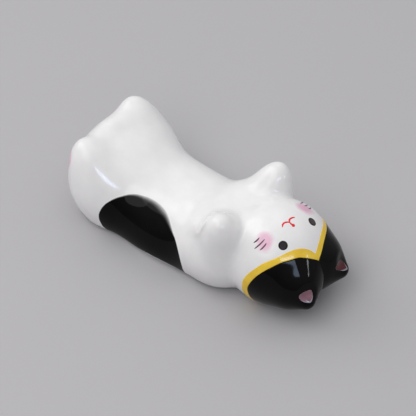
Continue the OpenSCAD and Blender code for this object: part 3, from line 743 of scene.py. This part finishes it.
print("face")
look = face["eye"]
charcoal = makeGlaze("charcoalEnamel", glazes["charcoal"], ground=glazes["soot"])
for name in sides:
    region = spotRegion(onSkin(headMiddle, look[name]), look["radius"])
    makeMark(name + "Eye", name + "_eye", region, charcoal, look)
look = face["blush"]
blushWash = makeGlaze("blushWash", glazes["blush"], ground=glazes["porcelain"], cover=look["cover"])
for name in sides:
    region = spotRegion(onSkin(headMiddle, look[name]), look["radius"])
    makeMark(name + "Blush", name + "_blush", region, blushWash, look)
look = face["nose"]
red = makeGlaze("redLine", glazes["red"])
region = spotRegion(onSkin(headMiddle, look["place"]), look["radius"])
makeMark("noseSpot", "nose", region, red, look)
look = face["mouth"]
lines = [laidLine(look[line]) for line in ("stem", "near", "far")]
makeMark("mouthLine", "mouth", strokeRegion(lines, look["half"], look["taper"]), red, look)
look = face["whisker"]
brown = makeGlaze("brownLine", glazes["brown"])
for name in sides:
    lines = []
    for a, b in look[name]:
        a, b = vec(a), vec(b)
        bend = look["bend"] * unit(np.cross(b - a, (a + b) / 2 - headMiddle))
        lines.append([onSkin(headMiddle, a + (b - a) * t + 4 * t * (1 - t) * bend - headMiddle)
                      for t in np.linspace(0, 1, look["points"])])
    region = strokeRegion(lines, look["half"], look["taper"])
    makeMark(name + "Whiskers", name + "_whiskers", region, brown, look)

# Sole pads and ear linings
sole = {"way": (-0.895, 0.446, 0), "share": 0.5, "half": (2.3, 2.8), "thick": 0.03, "edge": 0.8, "soft": 0.9,
        "cover": 0.85, "finer": 2}
lining = {
    "left": ((-1.76, 1.17), (-0.87, 1.0), (-0.02, 0.98), (0.86, 1.08), (1.04, 1.5), (0.88, 1.98), (0.5, 2.46),
             (0.02, 2.76), (-0.54, 2.55), (-1.05, 2.23), (-1.6, 1.69)),
    "right": ((2.33, 0.95), (1.64, 0.83), (0.8, 0.9), (-0.1, 1.1), (-0.47, 1.6), (-0.4, 2.3), (-0.05, 2.85),
              (0.4, 2.75), (0.92, 2.35), (1.6, 1.67)),
    "frontFrom": 0.3, "reach": 6, "onEars": True,
    "thick": coat["thick"] + 0.03, "lift": coat["thick"], "edge": 0.3, "finer": 3,
    "rimFrom": 1.7, "rimTo": 2.7, "rimRoot": 0.015, "rimTip": 0.4,  # a painted highlight on the lip near the tip
}


def padRegion(way):
    root, tip = vec(limbs["leg"][0]) * (1, way, 1), vec(limbs["leg"][1]) * (1, way, 1)
    start = root + sole["share"] * (tip - root)
    out = unit(vec(sole["way"]) * (1, way, 1))
    middle = onSkin(start, out)
    normal = unit(slope(skin, middle[None]))[0]
    across = unit(np.cross((0, 0, 1), normal))
    up = np.cross(normal, across)

    def region(p):
        q = p - middle
        wide, tall = sole["half"]
        share = np.stack([q @ across / wide, q @ up / tall, q @ normal / wide], -1)
        return (np.linalg.norm(share, axis=1) - 1) * wide

    return region


def liningRegion(name, way):
    outline = smoothOutline(lining[name])

    def region(p):
        q = fold(p) - earBase
        far = np.full(len(p), farOff)
        near = (p[:, 1] * way > 0) & (q @ earFront > lining["frontFrom"])
        near &= np.linalg.norm(q, axis=1) < lining["reach"]
        far[near] = outlineDistance(np.stack([q[near] @ earAcross, q[near] @ earAlong], -1), outline)
        return far

    return region


def liningSoft(p):
    return np.interp((fold(p) - earBase) @ earAlong, (lining["rimFrom"], lining["rimTo"]),
                     (lining["rimRoot"], lining["rimTip"]))


lining["soft"] = liningSoft
print("pads and linings")
padWash = makeGlaze("padWash", glazes["blush"], ground=glazes["porcelain"], cover=sole["cover"])
for name, way in sides.items():
    makeMark(name + "SolePad", name + "_sole_pad", padRegion(way), padWash, sole)
for name, way in sides.items():
    # each lining's glaze is painted as its ear was lit: painted light on the left, painted shade on the right
    litLiningGlaze = makeGlaze(name + "LiningAsLitGlaze", glazes[name + "Lining"], ground=glazes["lipHighlight"])
    region = liningRegion(name, way)
    makeMark(name + "EarLining", name + "_ear_lining", region, litLiningGlaze, lining)

print("floor, light and camera")
studio = {"floorHalf": 1.5, "floorColour": (0.45, 0.444, 0.456), "floorRoughness": 0.75,
          "grainScale": 60.0, "grainDetail": 2.0, "grainDark": 0.985,
          "dim": (0.268, 0.26, 0.277), "bright": (0.78, 0.778, 0.79), "skyWay": (0, 0.3, 0.85),
          "skyBase": 0.15}
lamps = {  # the azimuth runs from the near side round by the crown, and the power is in watts
    "leftSoftbox": {"azimuth": -80, "elevation": 36, "distance": 0.7, "shape": "DISK", "size": (0.5, 0.5),
                    "power": 1.0, "tint": (1, 0.99, 0.98), "diffuse": True},
    "frontSoftbox": {"azimuth": 4, "elevation": 52, "distance": 0.7, "shape": "DISK", "size": (0.56, 0.56),
                     "power": 1.2, "tint": (1, 0.99, 0.98), "diffuse": True},
    "topSoftbox": {"azimuth": -52, "elevation": 61, "distance": 0.7, "shape": "DISK", "size": (0.42, 0.42),
                   "power": 0.6, "tint": (1, 0.99, 0.98), "diffuse": True},
    "window": {"azimuth": 62, "elevation": 33.1, "distance": 0.8, "shape": "RECTANGLE", "size": (0.39, 0.084),
               "power": 1.0, "tint": (0.58, 0.74, 1), "diffuse": False},
    "slit": {"azimuth": 107.5, "elevation": 17, "distance": 0.8, "shape": "RECTANGLE", "size": (0.05, 0.04),
             "power": 0.1, "tint": (0.9, 0.95, 1), "diffuse": False},
}
camera = {"azimuth": 38.65, "elevation": 46.253, "distance": 0.98, "target": (0.198, -0.094, 8.883),
          "lens": 443.5, "sensor": 36.0, "clip": (0.01, 20.0)}


def toward(azimuth, elevation):
    a, e = math.radians(azimuth), math.radians(elevation)
    return Vector((math.sin(a) * math.cos(e), -math.cos(a) * math.cos(e), math.sin(e)))


bpy.ops.mesh.primitive_plane_add(size=2 * studio["floorHalf"])
floor = bpy.context.object
floor.name = "floor"
floorMaterial = bpy.data.materials.new("paleFloor")
floorMaterial.use_nodes = True
add = nodeMaker(floorMaterial)
place = add("ShaderNodeTexCoord").outputs["Object"]
grain = add("ShaderNodeTexNoise", {"Vector": place, "Scale": studio["grainScale"],
                                   "Detail": studio["grainDetail"]}).outputs["Fac"]
darker = [c * studio["grainDark"] for c in studio["floorColour"]]
tone = mixed(add, grain, colour(darker), colour(studio["floorColour"]))
floorShader = floorMaterial.node_tree.nodes["Principled BSDF"]
floorMaterial.node_tree.links.new(tone, floorShader.inputs["Base Color"])
floorShader.inputs["Roughness"].default_value = studio["floorRoughness"]
floor.data.materials.append(floorMaterial)

for name, look in lamps.items():
    data = bpy.data.lights.new(name, "AREA")
    data.shape = look["shape"]
    data.size, data.size_y = look["size"]
    data.energy, data.color = look["power"], look["tint"]
    lamp = bpy.data.objects.new(name, data)
    way = toward(look["azimuth"], look["elevation"])
    lamp.location = way * look["distance"]
    lamp.rotation_euler = way.to_track_quat("Z", "Y").to_euler()
    lamp.visible_diffuse = look["diffuse"]  # the window and the slit show only as reflections
    bpy.context.scene.collection.objects.link(lamp)

world = bpy.data.worlds.new("studio")
world.use_nodes = True
add = nodeMaker(world)
way = add("ShaderNodeTexCoord").outputs["Generated"]
share = add("ShaderNodeVectorMath", {0: way, 1: studio["skyWay"]}, operation="DOT_PRODUCT").outputs["Value"]
share = add("ShaderNodeMath", {0: share, 1: studio["skyBase"]}, operation="ADD", use_clamp=True).outputs[0]
sky = mixed(add, share, colour(studio["dim"]), colour(studio["bright"]))
world.node_tree.links.new(sky, world.node_tree.nodes["Background"].inputs["Color"])
bpy.context.scene.world = world

back = toward(camera["azimuth"], camera["elevation"])
data = bpy.data.cameras.new("camera")
data.lens, data.sensor_width = camera["lens"], camera["sensor"]
data.clip_start, data.clip_end = camera["clip"]
viewer = bpy.data.objects.new("camera", data)
viewer.location = Vector(camera["target"]) * mm + back * camera["distance"]
viewer.rotation_euler = back.to_track_quat("Z", "Y").to_euler()
bpy.context.scene.collection.objects.link(viewer)
bpy.context.scene.camera = viewer
bpy.context.scene.view_settings.view_transform = "Standard"
